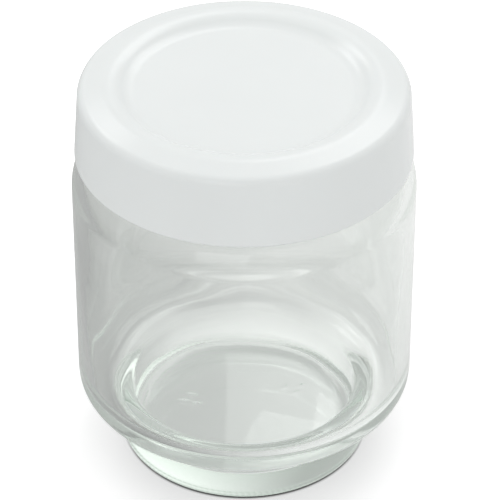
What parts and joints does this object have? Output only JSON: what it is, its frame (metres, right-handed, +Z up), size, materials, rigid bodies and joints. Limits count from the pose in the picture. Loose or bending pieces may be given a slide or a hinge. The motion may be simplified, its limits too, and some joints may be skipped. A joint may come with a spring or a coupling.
{
  "type": "yogurt jar",
  "caption": "Round clear glass jar with a stepped foot, closed by a smooth white screw lid with a shallow round recess; it holds one portion in a yogurt maker.",
  "frame": {"origin": "centre of the flat ring under the foot that the jar stands on, at the height of that ring", "axes": "+Z up along the axis of the jar, the neck and the lid; X and Y are any two directions across it"},
  "size_m": [0.07, 0.07, 0.0867],
  "materials": {
    "clear_glass": "clear, smooth",
    "seal_foam": "matt",
    "white_plastic": "semi-gloss"
  },
  "bodies": {
    "jar": {"glass_jar": "clear_glass"},
    "ring": {"sealing_ring": "seal_foam"},
    "lid": {"screw_lid": "white_plastic"}
  },
  "joints": [
    {"name": "lid_rise", "type": "slide", "parent": "jar", "child": "ring", "axis": [0, 0, 1], "range_m": [0, 0.0281]},
    {"name": "lid_turn", "type": "hinge", "parent": "ring", "child": "lid", "pos_m": [0, 0, 0.078], "axis": [0, 0, 1], "range_deg": [0, 720]}
  ],
  "couplings": [
    {"joint": "lid_rise", "follows": "lid_turn", "m_per_rad": 0.0022282}
  ]
}
